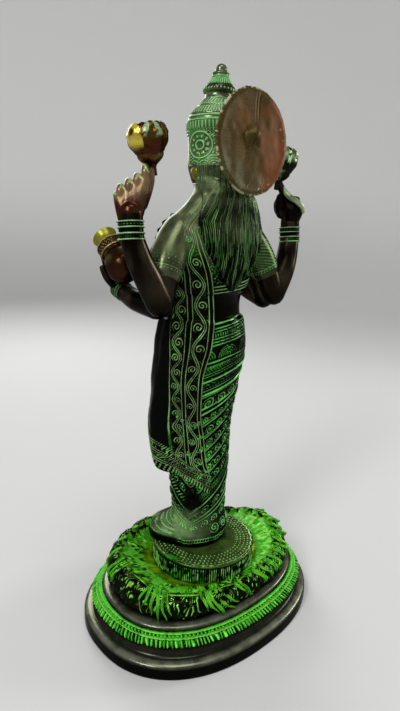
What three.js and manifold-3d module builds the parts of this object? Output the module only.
// A standing four-armed figure cast in brass, with a halo plate behind its head,
// on an oval stepped plinth that carries an open lotus and its round seed pod.
// Millimetres, +Z up. The origin is the centre of the plinth's underside.
// The figure faces -Y, so its left side is +X and its back is +Y.
import * as THREE from 'three';
import Module from 'manifold-3d';

const wasm = await Module();
wasm.setup();
const { smoothstep, lerp, degToRad } = THREE.MathUtils;

// Driving dimensions
const TOTAL_HEIGHT = 380;
const PLINTH_HALF_LENGTH = 90.5;
const PLINTH_HALF_DEPTH = 70.4;
const PLINTH_ROUNDNESS = 2.29;
const POD_RADIUS = 38;
const POD_CENTRE_Y = 2.6;
const POD_BASE = 38.6;
const POD_TOP = 52.7;
const JOINT_GAP = 0.3;
const HEM_HEIGHT = POD_TOP + JOINT_GAP;
const HALO_RADIUS = 31;
const HALO_CENTRE = [0, 31.7, 331.7];
const HALO_THICKNESS = 4.2;
const PEG_RADIUS = 4.2;
const CROWN_TIP_Y = 3.1;

// Finish
const DARK_BRASS = { color: 0x2b2a1e, roughness: 0.42, metalness: 0.85 };
const GREEN_BRASS = { color: 0x2e5a26, roughness: 0.5, metalness: 0.7 };
const COPPER = { color: 0x7a5540, roughness: 0.55, metalness: 0.7 };

// Solids

// A closed body through a row of rings that all have the same number of points; each end is
// closed by a fan, or drawn to a tip when one is given.
function loft(rings, startTip, endTip) {
  const count = rings[0].length;
  const first = startTip ?? centroid(rings[0]);
  const last = endTip ?? centroid(rings[rings.length - 1]);
  const points = [...rings.flat(), first, last];
  const firstIndex = rings.length * count;
  const lastIndex = firstIndex + 1;
  const triangles = [];
  for (let i = 0; i < count; i += 1) {
    const next = (i + 1) % count;
    const top = (rings.length - 1) * count;
    triangles.push(firstIndex, next, i, lastIndex, top + i, top + next);
    for (let row = 0; row < top; row += count) {
      triangles.push(row + i, row + next, row + count + next);
      triangles.push(row + i, row + count + next, row + count + i);
    }
  }
  return solid(points, triangles);
}

function centroid(ring) {
  const sum = ring.reduce((total, point) => total.add(point), new THREE.Vector3());
  return sum.divideScalar(ring.length);
}

// Turns the triangles outwards if the signed volume says that they point inwards.
function solid(points, triangles) {
  let volume = 0;
  for (let i = 0; i < triangles.length; i += 3) {
    const [a, b, c] = [0, 1, 2].map((k) => points[triangles[i + k]]);
    volume += a.dot(b.clone().cross(c));
  }
  if (volume < 0) triangles.reverse();
  return new wasm.Manifold(new wasm.Mesh({
    numProp: 3,
    vertProperties: new Float32Array(points.flatMap((point) => point.toArray())),
    triVerts: new Uint32Array(triangles),
  }));
}

function joined(solids) {
  return solids.reduce((total, piece) => total.add(piece));
}

// The outer skin of a joined casting: small spaces sealed inside it are solid metal.
function filled(casting) {
  return casting.decompose().reduce((outer, skin) => (skin.volume() > outer.volume() ? skin : outer));
}

function mirrored(stations) {
  return stations.map(([x, y, z, ...rest]) => [-x, y, z, ...rest]);
}

// Linear interpolation in a table of stations whose first number is the key, in rising order.
function at(stations, key) {
  const last = stations.length - 1;
  if (key <= stations[0][0]) return stations[0].slice(1);
  if (key >= stations[last][0]) return stations[last].slice(1);
  const upper = stations.findIndex((station) => station[0] > key);
  const [from, to] = [stations[upper - 1], stations[upper]];
  const share = (key - from[0]) / (to[0] - from[0]);
  return from.slice(1).map((value, i) => lerp(value, to[i + 1], share));
}

// A limb's rounded end, in radii: its last ring is this far out and this wide, its tip this far out.
const CAP_SHOULDER = [0.6, 0.72];
const CAP_LENGTH = 0.9;

// A limb is a tube on a smooth curve through stations [x, y, z, radius], rounded at both ends.
// Its section is an ellipse: flat is the ratio of its size along the given side to across it.
function limb(stations, { sides = 7, perSpan = 2, flat = 1, side = [0, 1, 0] } = {}) {
  const curve = new THREE.CatmullRomCurve3(stations.map(([x, y, z]) => new THREE.Vector3(x, y, z)));
  const widths = new THREE.SplineCurve(stations.map((station) => new THREE.Vector2(station[3], 0)));
  const steps = (stations.length - 1) * perSpan;
  const across = new THREE.Vector3(...side);
  const ringAt = (centre, tangent, radius) => {
    const u = new THREE.Vector3().crossVectors(tangent, across).normalize();
    const v = new THREE.Vector3().crossVectors(u, tangent).normalize();
    return Array.from({ length: sides }, (_, i) => {
      const angle = (2 * Math.PI * i) / sides;
      return centre.clone()
        .addScaledVector(u, radius * Math.cos(angle))
        .addScaledVector(v, radius * flat * Math.sin(angle));
    });
  };
  const rings = [];
  for (let i = 0; i <= steps; i += 1) {
    const t = i / steps;
    rings.push(ringAt(curve.getPoint(t), curve.getTangent(t), widths.getPoint(t).x));
  }
  const [start, end] = [0, 1].map((t) => {
    const outward = curve.getTangent(t).multiplyScalar(t ? 1 : -1);
    const centre = curve.getPoint(t);
    const radius = widths.getPoint(t).x;
    const shoulder = centre.clone().addScaledVector(outward, CAP_SHOULDER[0] * radius);
    return {
      ring: ringAt(shoulder, curve.getTangent(t), CAP_SHOULDER[1] * radius),
      tip: centre.clone().addScaledVector(outward, CAP_LENGTH * radius),
    };
  });
  return loft([start.ring, ...rings, end.ring], start.tip, end.tip);
}

// A turned form: a profile of [height, radius] carried round an axis, with lobes on its radius.
function turned(profile, { origin, axis = [0, 0, 1], sides = 16, lobes = 0, depth = 0 }) {
  const base = new THREE.Vector3(...origin);
  const turn = new THREE.Quaternion().setFromUnitVectors(
    new THREE.Vector3(0, 0, 1), new THREE.Vector3(...axis).normalize());
  const place = (x, y, z) => new THREE.Vector3(x, y, z).applyQuaternion(turn).add(base);
  const rings = profile.map(([height, radius]) => Array.from({ length: sides }, (_, i) => {
    const angle = (2 * Math.PI * i) / sides;
    const r = radius * (1 - depth * Math.abs(Math.sin((lobes * angle) / 2)));
    return place(r * Math.cos(angle), r * Math.sin(angle), height);
  }));
  return loft(rings);
}

// Body, from the hem to the tip of the crown

// Stations: height, half width, half depth, centre y
const BODY = [
  [HEM_HEIGHT, 22.2, 17.5, -4], [61, 22.6, 18, -4], [66, 22.2, 17.2, -4], [75, 22, 16.6, -4],
  [90, 22.3, 16.8, -4.4], [112, 22.4, 16.8, -5], [138, 22.5, 16.9, -5], [154, 24.2, 18, -5],
  [168, 27, 20, -5], [180, 30.2, 22.2, -5], [192, 32.5, 24, -5], [205, 33.2, 24.5, -5],
  [215, 32.1, 23.5, -4.9], [222, 30.4, 22, -4.6], [224, 28, 20.2, -4.4], [232, 27.3, 19.2, -4],
  [239, 28, 19.6, -3.4], [241, 29.8, 21.2, -3.2], [252, 33.5, 23.5, -2.4], [262, 38.5, 24.6, -1.6],
  [270, 41, 24, -0.8], [277, 40.5, 22.5, 0], [284, 37, 20.5, 1], [290, 31.5, 17.5, 3.6],
  [296, 26.2, 15.2, 6.3], [301, 22.6, 13.8, 7.4], [306, 18.2, 13.4, 5.4], [312, 15.4, 16, 0.8],
  [321, 16.2, 17.6, -0.5], [330, 15.8, 17.4, -1.4], [339, 16.2, 17.4, -1.8], [345, 17.6, 17.6, -1.6],
  [349.6, 16.6, 16.6, -1], [354, 13.6, 13.6, 0], [359.6, 9.2, 9.2, 1.2], [362.4, 8.4, 8.4, 1.5],
  [363.6, 10, 10, 1.7], [366, 9.8, 9.8, 1.9], [367.4, 8.3, 8.3, 2], [373, 5, 5, 2.5],
  [374.4, 5.4, 5.4, 2.6], [375.4, 3.8, 3.8, 2.8], [378, 3.4, 3.4, 3],
];
const BODY_SIDES = 22;
const FLARE_TOP = 75;
const FLARE_BASE = 61;

// Relief on the body, in millimetres outwards: the hem's flare, the bust, the hips and the nose.
// The angle runs from the back (0) round the figure's left (90) to its front (180).
function bodyRelief(degrees, z) {
  const around = Math.abs(degrees);
  const bump = (value, centre, width) => Math.exp(-(((value - centre) / width) ** 2));
  const flare = 1 - smoothstep(z, FLARE_BASE, FLARE_TOP);
  const reach = 1.5 + 15 * bump(around, 132, 34) + 8 * bump(around, 180, 30);
  const bust = 5.5 * bump(around, 152, 17) * bump(z, 262, 9);
  const seat = 1.6 * bump(around, 26, 20) * bump(z, 200, 14);
  const nose = 3 * bump(around, 180, 9) * bump(z, 321, 4.5);
  return flare * reach + bust + seat + nose;
}

function bodyPoint(degrees, z, extra = 0) {
  const [halfWidth, halfDepth, centreY] = at(BODY, z);
  const wrapped = ((degrees + 540) % 360) - 180;
  const angle = degToRad(degrees);
  const out = extra + bodyRelief(wrapped, z);
  return new THREE.Vector3(
    (halfWidth + out) * Math.sin(angle), centreY + (halfDepth + out) * Math.cos(angle), z);
}

function body() {
  const rings = BODY.map(([z]) => Array.from({ length: BODY_SIDES },
    (_, i) => bodyPoint((360 * i) / BODY_SIDES, z)));
  return loft(rings, undefined, new THREE.Vector3(0, CROWN_TIP_Y, TOTAL_HEIGHT));
}

// A layer that lies on the body: a grid of outer points over (u, v), with an inner skin sunk in
// the body. place(u, v) gives [degrees, height, thickness].
const LAYER_SINK = -3;
function layer(place, columns, rows) {
  const rings = [];
  for (let row = 0; row <= rows; row += 1) {
    const outer = [];
    const inner = [];
    for (let column = 0; column <= columns; column += 1) {
      const [degrees, z, thickness] = place(column / columns, row / rows);
      outer.push(bodyPoint(degrees, z, thickness));
      inner.unshift(bodyPoint(degrees, z, LAYER_SINK));
    }
    rings.push([...outer, ...inner]);
  }
  return loft(rings);
}

// The loose end of the sari: down the back from the left shoulder, with a deep fold at the side.
// Right edge: height, degrees. Side fold: height, how far it stands off the body.
const SHAWL_RIGHT_EDGE = [
  [93, 15], [105, 12], [119, 21], [139, 28], [157, 34], [184, 32.5], [195, 29], [206, 24],
  [227, 20], [248, 27], [273, 38], [286, 46],
];
const SHAWL_FOLD = [
  [98, 10], [112, 11.5], [121, 13], [131, 14.5], [140, 15.4], [150, 14.8], [159, 12.8],
  [168, 10], [179, 7], [190, 3.6], [199, 2], [212, 1.2],
];
// The hem of that end rises round the side: degrees, height
const SHAWL_HEM = [[15, 94], [55, 105], [100, 113], [118, 121], [132, 132], [168, 138]];
const SHAWL_FRONT_EDGE = 168;
const SHAWL_THICKNESS = 1.8;
const SHOULDER_HEIGHT = 286;
const ARMPIT_HEIGHT = 226;
function shawlBack(u, v) {
  const hemDegrees = lerp(SHAWL_HEM[0][0], SHAWL_FRONT_EDGE, u);
  const top = lerp(SHOULDER_HEIGHT, ARMPIT_HEIGHT, smoothstep(u, 0.36, 0.5));
  const z = lerp(at(SHAWL_HEM, hemDegrees)[0], top, v);
  const degrees = lerp(at(SHAWL_RIGHT_EDGE, z)[0], SHAWL_FRONT_EDGE, u);
  const fold = at(SHAWL_FOLD, z)[0] * smoothstep(degrees, 78, 108) * (1 - smoothstep(degrees, 142, 172));
  return [degrees, z, SHAWL_THICKNESS + fold];
}

// The same cloth in front: a band from the left shoulder across the chest to the right hip.
function shawlFront(u, v) {
  const degrees = lerp(118, 262, u);
  const middle = lerp(281, 222, smoothstep(u, 0, 1));
  const halfWidth = lerp(9, 13, u);
  return [degrees, middle + halfWidth * (1 - 2 * v), SHAWL_THICKNESS];
}

// Loose hair on the back, drawn to a point at the waist.
const HAIR_HALF_ANGLE = [[242, 4], [250, 17], [262, 29], [277, 40], [288, 50], [301, 66]];
function hair(u, v) {
  const z = lerp(242, 301, v);
  const halfAngle = at(HAIR_HALF_ANGLE, z)[0];
  return [lerp(-halfAngle, halfAngle, u) - 1, z, 2.6 + 1.4 * smoothstep(z, 250, 290)];
}

// Arms, hands and what they hold

// Stations: x, y, z, radius
const BACK_UPPER_ARM = [
  [27, 1, 281, 11], [38, 4, 268, 10.8], [46.5, 8, 251, 9.8], [51.5, 11.4, 236.5, 8.6],
];
const BACK_FOREARM = [
  [51.5, 11.8, 236, 8.6], [59, 12, 249, 8.4], [66.5, 10.4, 264, 7.6], [70, 8.6, 278, 6.9],
  [70, 8.2, 288, 6.8],
];
const FRONT_UPPER_ARM = [
  [28, -5, 279, 10], [39, -3, 262, 9.4], [46, 1, 247, 8.6], [49, 5.5, 233.5, 8],
];
const LEFT_FRONT_FOREARM = [[49, 5.5, 233, 7.8], [50, -14, 234.6, 7], [50.5, -36, 241.5, 5.6]];
const RIGHT_FRONT_FOREARM = [[-49, 5.5, 233, 7.8], [-49, -14, 239, 7], [-48, -31, 250, 5.6]];
const BANGLE_AXIS = [0, -0.1, 1];

// A stack of bangles with a rolled rim above and below.
function bangles(origin, axis, radius, height) {
  const profile = [[0, 0.95], [0.08, 1.05], [0.5, 1], [0.92, 1.05], [1, 0.95]];
  return turned(profile.map(([h, r]) => [h * height, r * radius]), { origin, axis, sides: 10 });
}

const FINGER = { sides: 5, perSpan: 1, side: [1, 0, 0] };

// A raised hand seen from its back: the back of the hand widens to a slanting row of four
// knuckles, the fingers curl forward, and the thumb pinches the flower's neck.
function raisedHand(flip) {
  const put = (stations) => stations.map(([x, ...rest]) => [flip * x, ...rest]);
  const palm = limb(
    put([[69.6, 9, 286, 7.4], [69, 10, 293, 8.8], [68, 10, 299, 9.2], [67.4, 9.6, 303, 8.4]]),
    { perSpan: 1, flat: 0.58, side: [0, 1, 0] });
  const fingers = [0, 1, 2, 3].map((k) => {
    const x = lerp(72.4, 60.6, k / 3);
    const z = lerp(300.6, 309.6, k / 3);
    return limb(put([[x, 10, z - 1.5, 3.3], [x - 0.4, 3, z - 0.5, 3.2], [x - 1, 0.5, z - 7, 2.8]]), FINGER);
  });
  const thumb = limb(put([[63, 8, 294, 3.6], [57.6, 5.6, 302, 3.4], [56, 5.6, 309.5, 3]]), FINGER);
  return joined([palm, ...fingers, thumb]);
}

// A closed lotus bud on a short neck, leaning from its grip towards the top.
const BUD_FOOT = [55, 7, 316.5];
const BUD_AXIS = [4.4, -1.1, 21.6];
const BUD_PROFILE = [[-7, 2.2], [-2, 3.4], [1.5, 7.2], [5.5, 10.9], [11, 12.4], [16, 11.4], [21.6, 4.6]];
const BUD_LOBES = 5;
function bud(flip) {
  const [origin, axis] = [BUD_FOOT, BUD_AXIS].map(([x, y, z]) => [flip * x, y, z]);
  return turned(BUD_PROFILE, { origin, axis, sides: 2 * BUD_LOBES, lobes: BUD_LOBES, depth: 0.1 });
}

// A small round pot with a beaded neck and a flared mouth, tilted forward on the left palm.
const POT_FOOT = [55.4, -13.6, 250.4];
const POT_AXIS = [0, -0.8, 0.6];
const POT_PROFILE = [
  [0, 4.5], [2.5, 8.4], [9, 11.4], [15, 10.8], [21, 8.4], [24, 9.4], [29, 9.4], [31, 7.2], [38.4, 8.4],
  [38.8, 7.2], [35, 4.5],
];

function leftFrontHand() {
  const palm = limb([[50.4, -35, 241.8, 5.2], [50.2, -39, 245, 6], [50.4, -41.6, 249.6, 5.8]],
    { perSpan: 1, flat: 0.62, side: [0, 0.62, 0.78] });
  const fingers = [0, 1, 2, 3].map((k) => {
    const x = lerp(45.4, 54.4, k / 3);
    return limb([[x, -40.2, 247.4, 2.4], [x + 0.6, -43.2, 254, 2.3], [x + 2.6, -44.6, 262.6, 2.1]], FINGER);
  });
  return joined([palm, ...fingers]);
}

// The right front hand is raised with its open palm forward.
function rightFrontHand() {
  const palm = limb([[-48, -32, 250, 5.6], [-48, -34.5, 256, 6.8], [-48, -35.5, 265, 7]],
    { perSpan: 1, flat: 0.5, side: [0, 1, 0] });
  const fingers = [0, 1, 2, 3].map((k) => {
    const x = lerp(-53.4, -42.6, k / 3);
    const reach = 281 - 1.1 * Math.abs(k - 1.4) ** 2;
    return limb([[x, -35.6, 265, 2.3], [x, -35.8, reach, 1.9]], FINGER);
  });
  const thumb = limb([[-43, -34, 255, 2.6], [-38.6, -35.5, 261, 2.4], [-37.2, -36, 267.5, 2]], FINGER);
  return joined([palm, ...fingers, thumb]);
}

// Feet on the pod, showing below the hem in front.
function foot(flip) {
  return limb([[flip * 8.5, -16, 58.4, 5], [flip * 9.5, -26, 57.6, 4.6], [flip * 10, -32.5, 56.2, 3]],
    { perSpan: 1, side: [0, 0, 1] });
}

function earring(flip) {
  const ear = [flip * 14.6, 0.5, 316];
  return turned([[0, 3.4], [1.4, 5], [3.4, 3]], { origin: ear, axis: [flip, 0, 0], sides: 8 });
}

// The halo's peg sits in a socket in the back of the head, with the usual gap all round.
const SOCKET_DEPTH_Y = 11;
function pegSolid(extra) {
  const from = SOCKET_DEPTH_Y - extra;
  const to = HALO_CENTRE[1];
  const radius = PEG_RADIUS + extra;
  const foot = [0, from, HALO_CENTRE[2]];
  return turned([[0, radius], [to - from, radius]], { origin: foot, axis: [0, 1, 0], sides: 12 });
}

function figureSolid() {
  const bothSides = (make) => [make(1), make(-1)];
  const whole = joined([
    body(),
    layer(shawlBack, 10, 10),
    layer(shawlFront, 8, 1),
    layer(hair, 8, 5),
    limb(BACK_UPPER_ARM), limb(mirrored(BACK_UPPER_ARM)),
    limb(BACK_FOREARM), limb(mirrored(BACK_FOREARM)),
    limb(FRONT_UPPER_ARM, { side: [1, 0, 0] }), limb(mirrored(FRONT_UPPER_ARM), { side: [1, 0, 0] }),
    limb(LEFT_FRONT_FOREARM, { side: [1, 0, 0] }), limb(RIGHT_FRONT_FOREARM, { side: [1, 0, 0] }),
    bangles([70.1, 9, 273.2], BANGLE_AXIS, 7.6, 11.2),
    bangles([-70.1, 9, 273.2], BANGLE_AXIS, 7.6, 11.2),
    bangles([50.4, -28, 238.6], [0.02, -0.95, 0.32], 6.2, 8),
    bangles([-48.6, -24, 245.2], [0.04, -0.84, 0.54], 6.8, 7),
    ...bothSides(raisedHand),
    ...bothSides(bud),
    turned(POT_PROFILE, { origin: POT_FOOT, axis: POT_AXIS, sides: 10 }),
    leftFrontHand(),
    rightFrontHand(),
    ...bothSides(foot),
    ...bothSides(earring),
  ]);
  return filled(whole.subtract(pegSolid(JOINT_GAP)));
}

// Halo plate

const HALO_SCALLOPS = 24;
const SCALLOP_DEPTH = 0.8;
function haloSolid() {
  const [x, y, z] = HALO_CENTRE;
  const half = HALO_THICKNESS / 2;
  const ring = (radius, depth) => Array.from({ length: 2 * HALO_SCALLOPS }, (_, i) => {
    const angle = (Math.PI * i) / HALO_SCALLOPS;
    const r = radius - (i % 2) * SCALLOP_DEPTH;
    return new THREE.Vector3(x + r * Math.sin(angle), y + depth, z + r * Math.cos(angle));
  });
  const plate = loft([
    ring(HALO_RADIUS - 1, -half), ring(HALO_RADIUS, 0), ring(HALO_RADIUS - 1.2, half),
    ring(HALO_RADIUS - 6, half * 0.6),
  ]);
  const bossFrame = (size, depth) => [[1, 1], [-1, 1], [-1, -1], [1, -1]].map(
    ([sx, sz]) => new THREE.Vector3(x + sx * size, y + depth, z + 1 + sz * size * 1.15));
  const boss = loft([bossFrame(5.2, 0), bossFrame(4.6, 3.4), bossFrame(3.6, 5.2)]);
  return joined([plate, boss, pegSolid(0)]);
}

// Plinth: a stepped oval base, a ring of drooping lotus petals and the pod they open round

const PLINTH_SIDES = 48;
const PETAL_COUNT = 12;

// A point of the oval outline drawn in by an inset.
function ovalPoint(angle, inset, z) {
  const power = (value) => Math.sign(value) * Math.abs(value) ** (2 / PLINTH_ROUNDNESS);
  return new THREE.Vector3((PLINTH_HALF_LENGTH - inset) * power(Math.cos(angle)),
    (PLINTH_HALF_DEPTH - inset) * power(Math.sin(angle)), z);
}

// Mouldings: inset, height
const BASE_PROFILE = [
  [0.5, 0], [0, 0.8], [0.1, 8.2], [1, 9.7], [5.1, 10.3], [8.2, 12.4], [8, 17], [5.7, 19.1], [9.6, 22.9],
  [11.6, 25.4], [14.5, 27.9], [17, 27.9],
];
// Petals: inset, height, how much of the rise they share, how far the lobes stand out
const PETAL_PROFILE = [
  [19.4, 28.4, 0, 1], [18.6, 33, 0.4, 2.2], [20.4, 37.4, 0.85, 1.7], [24.5, 39.6, 1, 0.6], [28, 38.8, 0.8, 0],
];
const PETAL_RISE = 10.5;
const PETAL_TIP_RISE = 1.5;
const LOW_PETALS_AT = 214;
const LOW_PETALS_SPREAD = 30;

// The petals stand low behind the figure, high beside and before it, and low again at one place.
function petalRise(angle) {
  const degrees = (THREE.MathUtils.radToDeg(angle) + 360) % 360;
  const dip = Math.exp(-(((degrees - LOW_PETALS_AT) / LOW_PETALS_SPREAD) ** 2));
  return PETAL_RISE * smoothstep((1 - Math.sin(angle)) / 1.1, 0, 1) * (1 - 0.9 * dip);
}

function plinthSolid() {
  const angles = Array.from({ length: PLINTH_SIDES }, (_, i) => (2 * Math.PI * i) / PLINTH_SIDES);
  const rings = BASE_PROFILE.map(([inset, z]) => angles.map((angle) => ovalPoint(angle, inset, z)));
  PETAL_PROFILE.forEach(([inset, z, share, lobe]) => {
    rings.push(angles.map((angle) => {
      const wave = Math.abs(Math.cos((PETAL_COUNT * angle) / 2));
      const rise = petalRise(angle) + PETAL_TIP_RISE * (wave - 0.6);
      return ovalPoint(angle, inset - lobe * (wave - 0.5), z + share * rise);
    }));
  });
  const podRounding = 0.7;
  [[0, POD_BASE], [0, POD_TOP - podRounding], [podRounding, POD_TOP]].forEach(([inset, z]) => {
    const radius = POD_RADIUS - inset;
    rings.push(angles.map((angle) => new THREE.Vector3(
      radius * Math.cos(angle), POD_CENTRE_Y + radius * Math.sin(angle), z)));
  });
  return loft(rings);
}

function node(name, manifold, finish) {
  const { vertProperties, triVerts } = manifold.getMesh();
  const geometry = new THREE.BufferGeometry();
  geometry.setAttribute('position', new THREE.BufferAttribute(new Float32Array(vertProperties), 3));
  geometry.setIndex(new THREE.BufferAttribute(new Uint32Array(triVerts), 1));
  const mesh = new THREE.Mesh(geometry, new THREE.MeshStandardMaterial(finish));
  mesh.name = name;
  return mesh;
}

const statue = new THREE.Group();
statue.add(
  node('figure', figureSolid(), DARK_BRASS),
  node('halo', haloSolid(), COPPER),
  node('plinth', plinthSolid(), GREEN_BRASS),
);

export default statue;
